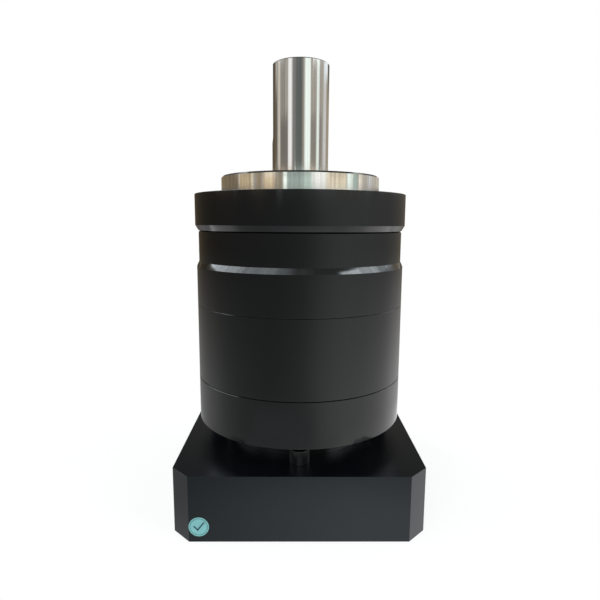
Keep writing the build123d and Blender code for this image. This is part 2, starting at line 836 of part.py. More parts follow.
# Input shaft: a split hub for the motor's shaft, below the bearing and the sun's socket
with BuildPart() as input_shaft:
    with BuildSketch(Plane.XZ):
        with BuildLine():
            Polyline(
                (motor_shaft_radius, hub_start),
                (hub_radius, hub_start),
                (hub_radius, input_bearing_top),
                (input_shoulder_radius, input_bearing_top),
                (input_shoulder_radius, input_bearing_top + input_shoulder_width),
                (hub_radius, input_bearing_top + input_shoulder_width),
                (hub_radius, journal_top),
                (sun_stem_radius, journal_top),
                (sun_stem_radius, sun_socket_level),
                (0, sun_socket_level),
                (0, hub_start + motor_shaft_depth),
                (motor_shaft_radius, hub_start + motor_shaft_depth),
                close=True,
            )
        make_face()
    revolve(axis=Axis.Z)
    with BuildSketch(Plane.XY.offset(hub_start)):
        Rectangle(2 * collar_radius, hub_slot_width)
    extrude(amount=hub_slot_end - hub_start, mode=Mode.SUBTRACT)
save(input_shaft, "input_shaft")

with BuildPart() as clamp_collar:
    with BuildSketch(Plane.XY.offset(collar_level)):
        Circle(collar_radius)
        Circle(hub_radius + fit, mode=Mode.SUBTRACT)
        with Locations((collar_radius, 0)):
            Rectangle(collar_radius, hub_slot_width, mode=Mode.SUBTRACT)
    extrude(amount=collar_width)
    with BuildSketch(clamp_seat):
        Circle(m5_head + fit)
    extrude(amount=collar_radius, mode=Mode.SUBTRACT)
    with BuildSketch(clamp_seat):
        Circle(m5_thread / 2 + fit)
    extrude(amount=-clamp_screw_length, mode=Mode.SUBTRACT)
save(clamp_collar, "clamp_collar")

clamp_screw = cap_screws([clamp_seat], m5_thread, m5_head, m5_key, clamp_screw_length)
save(clamp_screw, "clamp_screw")
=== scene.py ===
import json
from collections import namedtuple
from math import cos, pi, radians, sin

import bmesh
import bpy
from mathutils import Matrix, Vector


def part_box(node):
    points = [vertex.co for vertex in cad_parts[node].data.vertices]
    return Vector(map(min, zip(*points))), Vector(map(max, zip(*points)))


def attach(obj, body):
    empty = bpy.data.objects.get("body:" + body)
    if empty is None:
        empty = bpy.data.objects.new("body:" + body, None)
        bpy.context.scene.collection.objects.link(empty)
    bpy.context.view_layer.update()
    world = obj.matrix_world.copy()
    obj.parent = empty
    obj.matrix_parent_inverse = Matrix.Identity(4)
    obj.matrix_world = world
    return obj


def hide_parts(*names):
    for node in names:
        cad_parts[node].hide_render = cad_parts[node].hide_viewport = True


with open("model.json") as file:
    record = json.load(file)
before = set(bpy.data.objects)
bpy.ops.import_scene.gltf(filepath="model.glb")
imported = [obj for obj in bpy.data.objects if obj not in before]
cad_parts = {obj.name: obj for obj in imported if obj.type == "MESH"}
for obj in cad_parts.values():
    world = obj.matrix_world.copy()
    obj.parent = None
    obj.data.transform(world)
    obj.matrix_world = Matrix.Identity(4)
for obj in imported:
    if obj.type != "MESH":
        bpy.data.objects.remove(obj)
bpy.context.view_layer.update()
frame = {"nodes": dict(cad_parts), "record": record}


def corners(node):
    """Lowest and highest corner of a CAD piece, in metres, rounded to the micrometre."""
    return [[round(value, 6) for value in corner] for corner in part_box(node)]


# Millimetres are written as numbers times MM. The gearbox axis is Z and its front is -Y.
MM = 0.001

# Faces of the CAD pieces that the finer shapes start from
BLOCK_LEFT, BLOCK_FRONT, BLOCK_FOOT = corners("motor_adapter")[0]
RING_FOOT, RING_TOP = (corner[2] for corner in corners("ring_gear"))
NECK_TOP = corners("output_housing")[1][2]
PILOT_RADIUS, _, PILOT_LEVEL = corners("pilot_ring")[1]

# Broken edges of the machined pieces. The seam's is a flat chamfer and the others are rounded.
BLOCK_EDGE = 0.35 * MM
BODY_EDGE = 0.22 * MM
SMALL_EDGE = 0.15 * MM
SEAM_EDGE = 0.1 * MM

# Faces that turn by less than the flat angle are joined into one. Above the sharp angle they shade apart, and
# above the broken angle their edge is broken.
FLAT_ANGLE = radians(0.4)
SHARP_ANGLE = radians(20)
BROKEN_ANGLE = radians(40)

# Points this near to each other are one point, and points this near to a cut lie in it
WELD_REACH = 0.002 * MM
CUT_REACH = 0.0001 * MM

# Outer wall of the body: everything beyond its radius is wall. A groove in it has a lower and an upper level,
# a depth and the height over which its lower side runs in. One that runs past its piece opens the joint.
Groove = namedtuple("Groove", "lowest highest depth run_in")
WALL_RADIUS = 58.0 * MM
GROOVE_CORNER = 0.01 * MM
RING_JOINT = Groove(RING_FOOT - 1.0 * MM, RING_FOOT + 0.5 * MM, 1.8 * MM, GROOVE_CORNER)
HOUSING_JOINT = Groove(RING_TOP - 1.0 * MM, RING_TOP + 0.25 * MM, 1.0 * MM, GROOVE_CORNER)
NECK_RELIEF = Groove(NECK_TOP - 0.7 * MM, NECK_TOP + 1.0 * MM, 0.7 * MM, 0.69 * MM)

# The cone below the neck, and how far it is crowned
CONE_FOOT = RING_TOP + 21.5 * MM
CONE_TOP = RING_TOP + 24.5 * MM
CONE_CROWN = 0.05 * MM

# The pilot ring's top edge: how much wider its chamfer is turned. The CAD chamfer lies within the second size
# of the corner, and its upper end within the third of the top face.
PILOT_WIDENING = 0.4 * MM
PILOT_EDGE = 0.6 * MM
PILOT_FACE = 0.1 * MM

# Socket-head screws: head radius and height, width and depth of the hexagon key's socket, and shank radius.
# The adapter's have the slim heads that show in the gap.
Screw = namedtuple("Screw", "head height key key_depth shank")
SLIM_M8 = Screw(5.25 * MM, 8 * MM, 5 * MM, 4 * MM, 4 * MM)
M6 = Screw(5 * MM, 6 * MM, 5 * MM, 3 * MM, 3 * MM)
M5 = Screw(4.25 * MM, 5 * MM, 4 * MM, 2.5 * MM, 2.5 * MM)

# Steps around a screw and the sticker, depth of a head's flutes, and chamfers: at the top of the head, where
# the flutes run out, under the head, at the socket and, as a share of the shank's radius, at the tip
AROUND = 96
FLUTE_DEPTH = 0.22 * MM
HEAD_CHAMFER = 0.7 * MM
HEAD_SHOULDER = 0.245 * MM
HEAD_UNDERSIDE = 0.21 * MM
SOCKET_CHAMFER = 0.25 * MM
TIP_CHAMFER = 0.14

# Each set of screws: node, size, bolt circle, number, first angle, and 1 for heads up or -1 for heads down
SCREW_SETS = (
    ("adapter_screws", SLIM_M8, 98 * MM, 4, 0.0, 1),
    ("body_bolts", M6, 106.5 * MM, 8, 22.5, -1),
    ("flange_screws", M5, 105.2 * MM, 8, 22.5, 1),
    ("input_flange_screws", M5, 76 * MM, 6, 15.0, -1),
)

# Round sticker at the lower left of the adapter's front, with a line ring and a tick printed on it
STICKER_CENTRE = Vector((BLOCK_LEFT + 14.55 * MM, BLOCK_FRONT, BLOCK_FOOT + 8.2 * MM))
STICKER_RADIUS = 5.1 * MM
STICKER_THICKNESS = 0.08 * MM
INK_THICKNESS = 0.01 * MM
LINE_RADIUS = 0.86 * STICKER_RADIUS
LINE_WIDTH = 0.22 * MM
LINE_STEPS = 48
TICK = ((-2.3 * MM, 0.2 * MM), (-0.6 * MM, -1.7 * MM), (2.5 * MM, 2.2 * MM))
TICK_WIDTH = 0.75 * MM

# Camera: an ordinary lens in front of the gearbox, a little above its middle. Angles are in radians.
CAMERA_PLACE = Vector((-2.38 * MM, -296.2 * MM, 159.16 * MM))
CAMERA_PITCH = 0.1535
CAMERA_ROLL = 0.00523
CAMERA_YAW = 0.00888
CAMERA_LENS = 30.08
CAMERA_SENSOR = 36.0
CAMERA_NEAREST = 10 * MM

# Floor: a disc just under the block, which fades out between two shares of its radius. Its paint is pale,
# and its whiteness is how far plain white shows in place of the paint.
FLOOR_RADIUS = 0.19
FLOOR_STEPS = 96
FLOOR_DROP = 0.05 * MM
FLOOR_FADE = (0.6, 0.98)
FLOOR_PAINT = (0.95, 0.95, 0.95)
FLOOR_WHITENESS = 0.85

# Painted light on the floor that metal mirrors: its glow is painted brighter to the right and darker towards
# the camera. Each row is two places, along X and along Y, and the brightness at both.
PAINTED_FLOOR_GLOW_SIDES = (-0.09, 0.025, 0.38, 1.4)
PAINTED_FLOOR_GLOW_FRONT = (-0.145, -0.122, 0.4, 1.0)


# Shader effects shared by the materials

# Noise scales are in waves to the metre, and a noise's range is the part of it that is used. The gain is
# how fast wear grows with the bend of an edge.
CLOUD_SCALE = 45.0
CLOUD_RANGE = (0.3, 0.7)
WEAR_SCALE = 350.0
WEAR_GAIN = 8.0
WEAR_SAMPLES = 6
BUMP_DISTANCE = 0.05 * MM
WHITE = (1.0, 1.0, 1.0)


def give(tree, socket, value):
    """Links a socket to an input, or sets the input to a plain value."""
    if isinstance(value, bpy.types.NodeSocket):
        tree.links.new(value, socket)
    else:
        socket.default_value = value


def effect_group(name, inputs, outputs):
    """An empty node group with named number inputs and outputs."""
    group = bpy.data.node_groups.new(name, "ShaderNodeTree")
    for label, value in inputs:
        socket = group.interface.new_socket(name=label, in_out="INPUT", socket_type="NodeSocketFloat")
        socket.default_value = value
    for label in outputs:
        group.interface.new_socket(name=label, in_out="OUTPUT", socket_type="NodeSocketFloat")
    start = group.nodes.new("NodeGroupInput")
    end = group.nodes.new("NodeGroupOutput")
    return group, start, end


def math_node(tree, operation, *operands):
    """A Math node; each operand is a socket or a number."""
    node = tree.nodes.new("ShaderNodeMath")
    node.operation = operation
    for socket, operand in zip(node.inputs, operands):
        give(tree, socket, operand)
    return node.outputs[0]


def map_range(tree, value, from_min, from_max, to_min=0.0, to_max=1.0, kind="LINEAR"):
    """A Map Range node from one range to another; the ends are sockets or numbers."""
    node = tree.nodes.new("ShaderNodeMapRange")
    node.interpolation_type = kind
    ends = {"From Min": from_min, "From Max": from_max, "To Min": to_min, "To Max": to_max}
    for label, setting in {"Value": value, **ends}.items():
        give(tree, node.inputs[label], setting)
    return node.outputs["Result"]


def coordinates(tree, kind):
    """A place in the object's own coordinates or, for the world, the direction looked in."""
    return tree.nodes.new("ShaderNodeTexCoord").outputs[kind]


def split_axes(tree, vector):
    """The X, Y and Z outputs of a vector."""
    split = tree.nodes.new("ShaderNodeSeparateXYZ")
    tree.links.new(vector, split.inputs[0])
    return split.outputs


def noise(tree, kind="3D", **settings):
    """A noise texture with its inputs set or linked."""
    node = tree.nodes.new("ShaderNodeTexNoise")
    node.noise_dimensions = kind
    for label, value in settings.items():
        give(tree, node.inputs[label], value)
    return node.outputs["Fac"]


def mix_colours(tree, share, first, second):
    """From the first colour at a share of 0 to the second at 1."""
    node = tree.nodes.new("ShaderNodeMix")
    node.data_type = "RGBA"
    for label, value in (("Factor", share), ("A", first), ("B", second)):
        give(tree, node.inputs[label], value)
    return node.outputs["Result"]


def mix_shaders(tree, share, first, second):
    """From the first shader at a share of 0 to the second at 1."""
    node = tree.nodes.new("ShaderNodeMixShader")
    for socket, value in zip(node.inputs, (share, first, second)):
        tree.links.new(value, socket)
    return node.outputs[0]


def make_fine_grain():
    """Even speckle of a blasted, oxidised or cast surface."""
    group, start, end = effect_group("fine_grain", (("Size", 900.0), ("Amount", 1.0)), ("Height",))
    speckle = noise(group, Vector=coordinates(group, "Object"), Scale=start.outputs["Size"], Detail=3.0)
    group.links.new(math_node(group, "MULTIPLY", speckle, start.outputs["Amount"]), end.inputs["Height"])
    return group


def make_turned_marks():
    """Fine rings left by a lathe or grinder: they change along the axis and outwards, never around."""
    group, start, end = effect_group("turned_marks", (("Fineness", 4000.0), ("Amount", 1.0)), ("Height",))
    place = split_axes(group, coordinates(group, "Object"))
    across = math_node(group, "MULTIPLY", place["X"], place["X"])
    deep = math_node(group, "MULTIPLY", place["Y"], place["Y"])
    radius = math_node(group, "SQRT", math_node(group, "ADD", across, deep))
    rings = group.nodes.new("ShaderNodeCombineXYZ")
    group.links.new(radius, rings.inputs["X"])
    group.links.new(place["Z"], rings.inputs["Y"])
    marks = noise(group, "2D", Vector=rings.outputs[0], Scale=start.outputs["Fineness"], Detail=4.0)
    group.links.new(math_node(group, "MULTIPLY", marks, start.outputs["Amount"]), end.inputs["Height"])
    return group


def make_handling_marks():
    """Large soft clouds that make a finish a little shinier or duller."""
    inputs = (("Size", 40.0), ("Low", 0.3), ("High", 0.4))
    group, start, end = effect_group("handling_marks", inputs, ("Roughness",))
    place = coordinates(group, "Object")
    clouds = noise(group, Vector=place, Scale=start.outputs["Size"], Detail=5.0, Roughness=0.62)
    spread = map_range(group, clouds, *CLOUD_RANGE, start.outputs["Low"], start.outputs["High"])
    group.links.new(spread, end.inputs["Roughness"])
    return group


def make_edge_wear():
    """A mask that is 1 where an outer edge has rubbed thin, broken up by fine noise."""
    group, start, end = effect_group("edge_wear", (("Width", 0.5 * MM), ("Amount", 1.0)), ("Mask",))
    rounded = group.nodes.new("ShaderNodeBevel")
    rounded.samples = WEAR_SAMPLES
    group.links.new(start.outputs["Width"], rounded.inputs["Radius"])
    surface = group.nodes.new("ShaderNodeNewGeometry")
    agree = group.nodes.new("ShaderNodeVectorMath")
    agree.operation = "DOT_PRODUCT"
    group.links.new(rounded.outputs["Normal"], agree.inputs[0])
    group.links.new(surface.outputs["Normal"], agree.inputs[1])
    bend = math_node(group, "MULTIPLY", math_node(group, "SUBTRACT", 1.0, agree.outputs["Value"]), WEAR_GAIN)
    patches = noise(group, Vector=coordinates(group, "Object"), Scale=WEAR_SCALE, Detail=3.0)
    patchy = math_node(group, "MULTIPLY", bend, patches)
    mask = math_node(group, "MINIMUM", math_node(group, "MULTIPLY", patchy, start.outputs["Amount"]), 1.0)
    group.links.new(mask, end.inputs["Mask"])
    return group


FINE_GRAIN = make_fine_grain()
TURNED_MARKS = make_turned_marks()
HANDLING_MARKS = make_handling_marks()
EDGE_WEAR = make_edge_wear()


def use_effect(material, group, **values):
    """Places a shared effect in a material with that material's own values."""
    node = material.node_tree.nodes.new("ShaderNodeGroup")
    node.node_tree = group
    for label, value in values.items():
        node.inputs[label].default_value = value
    return node.outputs[0]


# Materials


def finish(name, colour, metallic, roughness, specular=0.5, marks=None, grain=None, wear=None, tint=WHITE):
    """One procedural finish. Roughness is a low and a high value; marks and grain are a size and a depth;
    wear is the colour that shows on the edges and its amount; tint colours the shine."""
    material = bpy.data.materials.new(name)
    material.use_nodes = True
    tree = material.node_tree
    shader = tree.nodes["Principled BSDF"]
    shader.inputs["Base Color"].default_value = (*colour, 1.0)
    shader.inputs["Metallic"].default_value = metallic
    shader.inputs["Specular IOR Level"].default_value = specular
    shader.inputs["Specular Tint"].default_value = (*tint, 1.0)
    low, high = roughness
    handled = use_effect(material, HANDLING_MARKS, Size=CLOUD_SCALE, Low=low, High=high)
    tree.links.new(handled, shader.inputs["Roughness"])
    if marks:
        size, depth = marks
        height = use_effect(material, TURNED_MARKS, Fineness=size)
    else:
        size, depth = grain
        height = use_effect(material, FINE_GRAIN, Size=size)
    bump = tree.nodes.new("ShaderNodeBump")
    bump.inputs["Strength"].default_value = depth
    bump.inputs["Distance"].default_value = BUMP_DISTANCE
    tree.links.new(height, bump.inputs["Height"])
    tree.links.new(bump.outputs["Normal"], shader.inputs["Normal"])
    if wear:
        edge_colour, amount = wear
        mask = use_effect(material, EDGE_WEAR, Amount=amount)
        worn = mix_colours(tree, mask, (*colour, 1.0), (*edge_colour, 1.0))
        tree.links.new(worn, shader.inputs["Base Color"])
    return material


OXIDE_EDGE = (0.045, 0.044, 0.042)
FINISHES = {
    "body_black": finish(
        "satin_black_oxide", (0.0016, 0.0016, 0.0017), 0.0, (0.09, 0.13), grain=(1500.0, 0.04),
        wear=(OXIDE_EDGE, 0.3),
    ),
    "adapter_black": finish(
        "black_anodised", (0.0008, 0.0011, 0.0018), 0.0, (0.30, 0.36), 0.4, grain=(1100.0, 0.05),
        wear=(OXIDE_EDGE, 0.4), tint=(0.84, 0.95, 1.0),
    ),
    "screw_black": finish("black_screws", (0.0025, 0.0025, 0.0027), 0.0, (0.24, 0.32), grain=(1800.0, 0.06)),
    "pilot_steel": finish("turned_bright_steel", (0.64, 0.63, 0.60), 1.0, (0.05, 0.09), marks=(9000.0, 0.05)),
    "shaft_steel": finish("ground_shaft_steel", (0.62, 0.61, 0.59), 1.0, (0.06, 0.09), marks=(6000.0, 0.04)),
    "gear_steel": finish("hardened_gear_steel", (0.36, 0.355, 0.35), 1.0, (0.24, 0.34), grain=(1500.0, 0.1)),
    "bearing_steel": finish(
        "polished_bearing_steel", (0.62, 0.62, 0.63), 1.0, (0.10, 0.16), marks=(9000.0, 0.03)
    ),
    "bronze": finish("sintered_bronze", (0.46, 0.29, 0.15), 1.0, (0.32, 0.42), grain=(2500.0, 0.25)),
    "brass": finish("machined_brass", (0.60, 0.44, 0.19), 1.0, (0.20, 0.28), marks=(7000.0, 0.06)),
    "seal_rubber": finish(
        "nitrile_rubber", (0.012, 0.012, 0.013), 0.0, (0.55, 0.68), 0.4, grain=(2000.0, 0.2)
    ),
}
STICKER_TEAL = finish("sticker_teal", (0.16, 0.375, 0.38), 0.0, (0.42, 0.50), 0.4, grain=(1500.0, 0.04))
STICKER_INK = finish("sticker_ink", (0.020, 0.060, 0.085), 0.0, (0.45, 0.55), 0.3, grain=(1500.0, 0.04))

slot_of = {part["node"]: part["material_slot"] for part in frame["record"]["subparts"]}


# Pieces


def mesh_from(shape, name):
    """The finished mesh of a shape, which is freed."""
    mesh = bpy.data.meshes.new(name)
    shape.to_mesh(mesh)
    shape.free()
    return mesh


def add_piece(name, mesh, materials, body):
    """Puts a mesh into the scene as a piece of the object that moves with a CAD body."""
    piece = bpy.data.objects.new(name, mesh)
    bpy.context.scene.collection.objects.link(piece)
    for material in materials:
        mesh.materials.append(material)
    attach(piece, body)
    return piece


def replace_node(node, name, mesh, body):
    """The piece that stands for a CAD piece, in the finish of its slot, with its flat faces set off."""
    slot = slot_of[node]
    piece = add_piece(name, mesh, (FINISHES[slot],), body)
    mesh.shade_smooth()
    mesh.set_sharp_from_angle(angle=SHARP_ANGLE)
    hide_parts(node)
    return piece


def break_edges(piece, width):
    """A narrow rounded break on every sharp edge."""
    bevel = piece.modifiers.new("broken_edges", "BEVEL")
    bevel.width = width
    bevel.segments = 2
    bevel.limit_method = "ANGLE"
    bevel.angle_limit = BROKEN_ANGLE
    bevel.harden_normals = True


def chamfer_edges(shape, width):
    """Small flat chamfers on the sharp edges."""
    sharp = [edge for edge in shape.edges if edge.is_manifold and edge.calc_face_angle() > BROKEN_ANGLE]
    bmesh.ops.bevel(shape, geom=sharp, offset=width, segments=1, affect="EDGES", clamp_overlap=True)


def outward(point):
    """Distance from the gearbox axis."""
    return (point.x**2 + point.y**2) ** 0.5


def cut_wall(shape, level):
    """Cuts the outer wall at a level, so that it can be turned differently above and below."""
    walls = [face for face in shape.faces if min(outward(vert.co) for vert in face.verts) > WALL_RADIUS]
    # Each face, edge and point of the wall once
    outside = list(dict.fromkeys(part for face in walls for part in (face, *face.edges, *face.verts)))
    bmesh.ops.bisect_plane(shape, geom=outside, plane_co=(0, 0, level), plane_no=(0, 0, 1), dist=CUT_REACH)


def turn_to(vert, change):
    """Moves a point outwards by a change of radius."""
    radius = outward(vert.co)
    vert.co.x *= (radius + change) / radius
    vert.co.y *= (radius + change) / radius


def cut_groove(shape, groove):
    """A narrow groove around the wall, which makes a dark line."""
    lowest, highest, depth, run_in = groove
    for level in (lowest, lowest + run_in, highest - GROOVE_CORNER, highest):
        cut_wall(shape, level)
    for vert in shape.verts:
        inside = lowest + run_in / 2 < vert.co.z < highest - GROOVE_CORNER / 2
        if inside and outward(vert.co) > WALL_RADIUS:
            turn_to(vert, -depth)


def crown_cone(shape):
    """Gives the cone below the neck its slight crown, highest halfway up."""
    height = CONE_TOP - CONE_FOOT
    for share in (1 / 3, 2 / 3):
        cut_wall(shape, CONE_FOOT + share * height)
    for vert in shape.verts:
        share = (vert.co.z - CONE_FOOT) / height
        if 0.1 < share < 0.9 and outward(vert.co) > WALL_RADIUS:
            turn_to(vert, 4 * CONE_CROWN * share * (1 - share))


def widen_pilot_chamfer(shape):
    """The pilot's top edge is turned to a wider chamfer."""
    for vert in shape.verts:
        if outward(vert.co) > PILOT_RADIUS - PILOT_EDGE and vert.co.z > PILOT_LEVEL - PILOT_EDGE:
            if vert.co.z > PILOT_LEVEL - PILOT_FACE:
                turn_to(vert, -PILOT_WIDENING)
            else:
                vert.co.z -= PILOT_WIDENING


def machined(node, body, edge=None, chamfer=None, grooves=(), change=None):
    """The CAD piece with clean faces in the finish of its slot. Its edges are softly broken by edge, or
    flatly chamfered; then come grooves around the wall and one further change."""
    shape = bmesh.new()
    shape.from_mesh(frame["nodes"][node].data)
    bmesh.ops.remove_doubles(shape, verts=shape.verts, dist=WELD_REACH)
    bmesh.ops.dissolve_limit(shape, angle_limit=FLAT_ANGLE, verts=shape.verts, edges=shape.edges)
    if chamfer:
        chamfer_edges(shape, chamfer)
    for groove in grooves:
        cut_groove(shape, groove)
    if change:
        change(shape)
    mesh = mesh_from(shape, node + "_finished")
    old_normals = mesh.attributes.get("custom_normal")
    if old_normals:
        mesh.attributes.remove(old_normals)
    piece = replace_node(node, node + "_finished", mesh, body)
    if edge:
        break_edges(piece, edge)


def even_ring(radius):
    """A round ring: the same radius at every step."""
    return lambda step: radius


def fluted_ring(radius):
    """Every second step lies in a flute."""
    return lambda step: radius - FLUTE_DEPTH if step % 2 == 0 else radius


def hexagon_ring(width):
    """A hexagon of that width across its flats."""
    def radius_at(step):
        from_flat = (2 * pi * step / AROUND + pi / 6) % (pi / 3) - pi / 6
        return width / 2 / cos(from_flat)
    return radius_at


def screw_rings(size, length):
    """A screw's outline from tip to socket, as levels above its seat and the ring at each."""
    head, height, key, key_depth, shank = size
    return (
        (-length, even_ring(shank * (1 - TIP_CHAMFER))),
        (-length + TIP_CHAMFER * shank, even_ring(shank)),
        (0.0, even_ring(shank)),
        (0.0, even_ring(head - HEAD_UNDERSIDE)),
        (HEAD_UNDERSIDE, fluted_ring(head)),
        (height - HEAD_CHAMFER, fluted_ring(head)),
        (height - HEAD_SHOULDER, even_ring(head - HEAD_SHOULDER)),
        (height, even_ring(head - HEAD_CHAMFER)),
        (height, even_ring(key / 2 / cos(pi / 6) + SOCKET_CHAMFER)),
        (height - SOCKET_CHAMFER, hexagon_ring(key)),
        (height - key_depth, hexagon_ring(key)),
    )


def join_loops(shape, lower, upper):
    """Faces between two loops of points."""
    for step in range(AROUND):
        after = (step + 1) % AROUND
        shape.faces.new((lower[step], lower[after], upper[after], upper[step]))


def add_screw(shape, foot, rings, facing):
    """One screw whose head sits at foot, facing up or down."""
    loops = []
    for level, radius_at in rings:
        loop = []
        for step in range(AROUND):
            turn = 2 * pi * step / AROUND
            radius = radius_at(step)
            offset = Vector((radius * cos(turn), radius * sin(turn) * facing, level * facing))
            loop.append(shape.verts.new(foot + offset))
        loops.append(loop)
    for lower, upper in zip(loops, loops[1:]):
        join_loops(shape, lower, upper)
    shape.faces.new(list(reversed(loops[0])))
    shape.faces.new(loops[-1])


def socket_screws(node, size, circle, count, first_angle, facing):
    """Socket-head screws on a bolt circle, between the levels that their CAD piece reaches: fluted heads,
    hexagon sockets and plain shanks."""
    low, high = (corner[2] for corner in corners(node))
    crown, tip = (high, low) if facing == 1 else (low, high)
    seat = crown - facing * size.height
    rings = screw_rings(size, abs(seat - tip))
    shape = bmesh.new()
    for number in range(count):
        angle = radians(first_angle + number * 360 / count)
        foot = Vector((circle / 2 * cos(angle), circle / 2 * sin(angle), seat))
        add_screw(shape, foot, rings, facing)
    replace_node(node, node + "_fluted", mesh_from(shape, node + "_fluted"), "housing")


def flat_disc(shape, radius, level):
    """A round face in the sticker's plane, level metres in front of the block."""
    centre = STICKER_CENTRE - Vector((0, level, 0))
    loop = []
    for step in range(AROUND):
        turn = 2 * pi * step / AROUND
        loop.append(shape.verts.new(centre + Vector((radius * cos(turn), 0, radius * sin(turn)))))
    shape.faces.new(loop)
    return loop


def flat_ribbon(shape, points, width, level):
    """A flat inked line of even width along points given in the sticker's plane."""
    for start, end in zip(points, points[1:]):
        along = (Vector(end) - Vector(start)).normalized()
        side = Vector((-along.y, along.x)) * width / 2
        reach = along * width / 2
        outline = (
            Vector(start) - reach - side,
            Vector(end) + reach - side,
            Vector(end) + reach + side,
            Vector(start) - reach + side,
        )
        loop = [shape.verts.new(STICKER_CENTRE + Vector((point.x, -level, point.y))) for point in outline]
        shape.faces.new(loop).material_index = 1


def add_sticker():
    """Round inspection sticker: a teal dot with a thin line ring and a plain tick."""
    shape = bmesh.new()
    front = flat_disc(shape, STICKER_RADIUS, STICKER_THICKNESS)
    back = flat_disc(shape, STICKER_RADIUS, 0.0)
    join_loops(shape, back, front)
    turns = [2 * pi * step / LINE_STEPS for step in range(LINE_STEPS + 1)]
    ring = [(LINE_RADIUS * cos(turn), LINE_RADIUS * sin(turn)) for turn in turns]
    ink_level = STICKER_THICKNESS + INK_THICKNESS
    flat_ribbon(shape, ring, LINE_WIDTH, ink_level)
    flat_ribbon(shape, TICK, TICK_WIDTH, ink_level)
    bmesh.ops.recalc_face_normals(shape, faces=shape.faces)
    add_piece("sticker", mesh_from(shape, "sticker"), (STICKER_TEAL, STICKER_INK), "housing")


# Every CAD piece that stays as it is gets the finish of its slot
for node, thing in frame["nodes"].items():
    thing.data.materials.clear()
    thing.data.materials.append(FINISHES[slot_of[node]])

machined("motor_adapter", "housing", BLOCK_EDGE)
machined("access_plug", "housing", SMALL_EDGE)
machined("input_flange", "housing", BODY_EDGE)
machined("rear_cover", "housing", chamfer=SEAM_EDGE)
machined("ring_gear", "housing", chamfer=SEAM_EDGE, grooves=(RING_JOINT,))
machined(
    "output_housing", "housing", chamfer=SEAM_EDGE, grooves=(HOUSING_JOINT, NECK_RELIEF), change=crown_cone
)
machined("front_flange", "housing", BODY_EDGE)
machined("pilot_ring", "housing", change=widen_pilot_chamfer)
machined("output_seal", "housing", SMALL_EDGE)
machined("output_shaft", "output_shaft")
machined("input_shaft", "input_shaft", SMALL_EDGE)
machined("clamp_collar", "input_shaft", SMALL_EDGE)

for screw_set in SCREW_SETS:
    socket_screws(*screw_set)

add_sticker()


# Floor


def pale_floor():
    """Mostly plain white to the camera and a painted glow to metal, brighter to the right and darker towards
    the camera, over matt paint.
    """
    material = bpy.data.materials.new("pale_floor")
    material.use_nodes = True
    tree = material.node_tree
    tree.nodes.clear()
    end = tree.nodes.new("ShaderNodeOutputMaterial")
    paint = tree.nodes.new("ShaderNodeBsdfDiffuse")
    paint.inputs["Color"].default_value = (*FLOOR_PAINT, 1.0)
    white = tree.nodes.new("ShaderNodeEmission")
    clear = tree.nodes.new("ShaderNodeBsdfTransparent")
    path = tree.nodes.new("ShaderNodeLightPath")
    mirrored = math_node(tree, "MAXIMUM", path.outputs["Is Glossy Ray"], path.outputs["Is Transmission Ray"])
    seen = math_node(tree, "MAXIMUM", path.outputs["Is Camera Ray"], mirrored)
    place = coordinates(tree, "Object")
    axes = split_axes(tree, place)
    # Painted light: for mirrored rays the floor's glow is painted brighter to the right and darker towards
    # the camera
    painted_glow_side = map_range(tree, axes["X"], *PAINTED_FLOOR_GLOW_SIDES)
    painted_glow_front = map_range(tree, axes["Y"], *PAINTED_FLOOR_GLOW_FRONT)
    painted_glow_in_metal = math_node(tree, "MULTIPLY", mirrored, math_node(tree, "MULTIPLY", painted_glow_side, painted_glow_front))
    elsewhere = math_node(tree, "SUBTRACT", 1.0, mirrored)
    tree.links.new(math_node(tree, "ADD", elsewhere, painted_glow_in_metal), white.inputs["Strength"])
    share = math_node(tree, "MULTIPLY", seen, FLOOR_WHITENESS)
    pale = mix_shaders(tree, share, paint.outputs[0], white.outputs[0])
    reach = tree.nodes.new("ShaderNodeVectorMath")
    reach.operation = "LENGTH"
    tree.links.new(place, reach.inputs[0])
    fade_start, fade_end = FLOOR_FADE
    fade = map_range(tree, reach.outputs["Value"], fade_start * FLOOR_RADIUS, fade_end * FLOOR_RADIUS)
    tree.links.new(mix_shaders(tree, fade, pale, clear.outputs[0]), end.inputs["Surface"])
    return material


def add_floor():
    """A pale round floor that fades out at its rim and keeps the object's shadow."""
    shape = bmesh.new()
    bmesh.ops.create_circle(shape, cap_ends=True, radius=FLOOR_RADIUS, segments=FLOOR_STEPS)
    mesh = mesh_from(shape, "floor")
    floor = bpy.data.objects.new("floor", mesh)
    floor.location.z = -FLOOR_DROP
    bpy.context.scene.collection.objects.link(floor)
    mesh.materials.append(pale_floor())


add_floor()


# Studio light

# An azimuth is in degrees: 0 is straight in front, 90 is to the right and 180 is behind. An elevation is 0
# at the horizon and 90 overhead.
WARM = (1.16, 1.00, 0.76)
AMBER = (1.30, 1.02, 0.66)
TAN = (1.08, 1.01, 0.90)
COOL = (0.94, 1.04, 1.00)
SKY = (0.93, 1.01, 1.06)
TEAL = (0.84, 1.07, 1.00)

